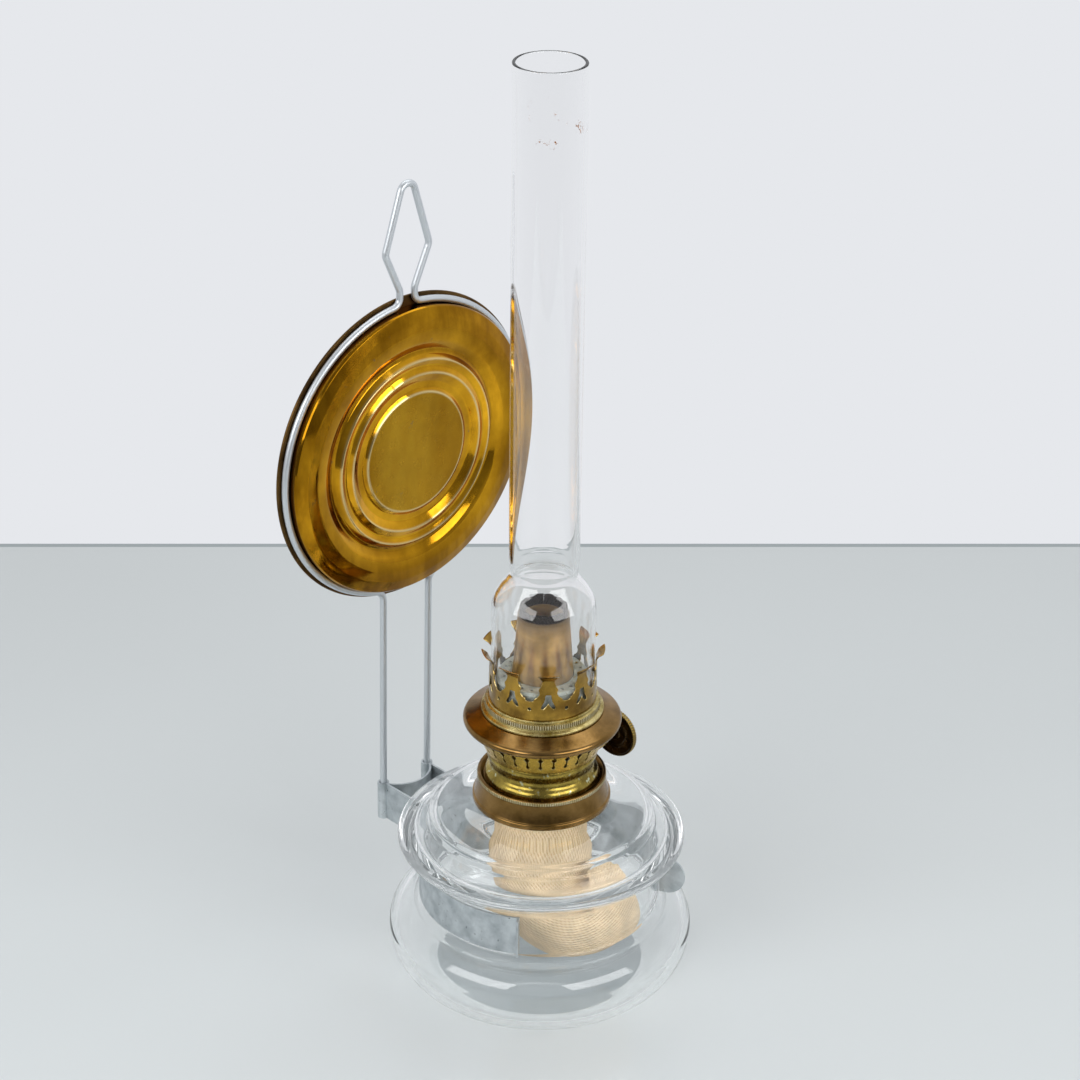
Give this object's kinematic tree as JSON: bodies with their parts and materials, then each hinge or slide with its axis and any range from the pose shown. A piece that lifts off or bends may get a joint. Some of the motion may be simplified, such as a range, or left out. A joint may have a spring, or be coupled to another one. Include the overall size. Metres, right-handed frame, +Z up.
{
  "type": "oil lamp",
  "caption": "Paraffin table and wall lamp: clear glass font, wick burner with pierced crown, tall glass chimney, brass reflector on a sprung wire frame with a hanging loop.",
  "frame": {"origin": "centre of the font's flat foot on the table", "axes": "+Z up along the font, burner and chimney; +Y towards the reflector; +X to the winder knob's side"},
  "size_m": [0.137, 0.1553, 0.406],
  "materials": {
    "font_glass": "clear pressed glass, gloss",
    "chimney_glass": "clear thin blown glass, gloss",
    "plaster": "matt",
    "brown_brass": "brown patina, satin",
    "yellow_brass": "worn satin",
    "tube_brass": "satin, sooted rim",
    "reflector_brass": "polished, spotted",
    "dark_brass": "dark patina",
    "knob_brass": "blackened",
    "galvanised_sheet": "galvanised, matt",
    "galvanised_wire": "galvanised, satin",
    "shaft_steel": "dull",
    "cotton": "twill weave, charred top"
  },
  "bodies": {
    "font": {"oil_font": "font_glass", "collar_cement": "plaster", "font_collar": "brown_brass", "font_strap": "galvanised_sheet", "wire_frame": "galvanised_wire", "reflector_dish": "reflector_brass", "reflector_back": "dark_brass"},
    "burner_screw": {"burner_floor": "yellow_brass"},
    "burner": {"burner_base": "yellow_brass", "air_basket": "yellow_brass", "gallery_ring": "brown_brass", "seat_ring": "yellow_brass", "chimney_crown": "yellow_brass", "air_cup": "yellow_brass", "wick_tube": "tube_brass", "draught_tube": "tube_brass", "shaft_bush": "yellow_brass", "shaft_bracket": "yellow_brass"},
    "winder": {"winder_shaft": "shaft_steel", "winder_wheels": "shaft_steel", "winder_knob": "knob_brass", "knob_rivet": "yellow_brass"},
    "wick": {"wick": "cotton"},
    "chimney": {"chimney": "chimney_glass"}
  },
  "joints": [
    {"name": "burner_rise", "type": "slide", "parent": "font", "child": "burner_screw", "axis": [0, 0, 1], "range_m": [0, 0.005]},
    {"name": "burner_turn", "type": "hinge", "parent": "burner_screw", "child": "burner", "pos_m": [0, 0, 0.1], "axis": [0, 0, 1], "range_deg": [0, 890]},
    {"name": "knob_turn", "type": "hinge", "parent": "burner", "child": "winder", "pos_m": [0.00227, -0.01483, 0.107], "axis": [0.9885, 0.1513, 0], "range_deg": [-115, 42]},
    {"name": "wick_raise", "type": "slide", "parent": "burner", "child": "wick", "axis": [0, 0, 1], "range_m": [-0.011, 0.004]},
    {"name": "chimney_lift", "type": "slide", "parent": "burner", "child": "chimney", "axis": [0, 0, 1], "range_m": [0, 0.06]}
  ],
  "couplings": [
    {"joint": "burner_rise", "follows": "burner_turn", "m_per_rad": 0.00031831},
    {"joint": "wick_raise", "follows": "knob_turn", "m_per_rad": 0.0054}
  ]
}
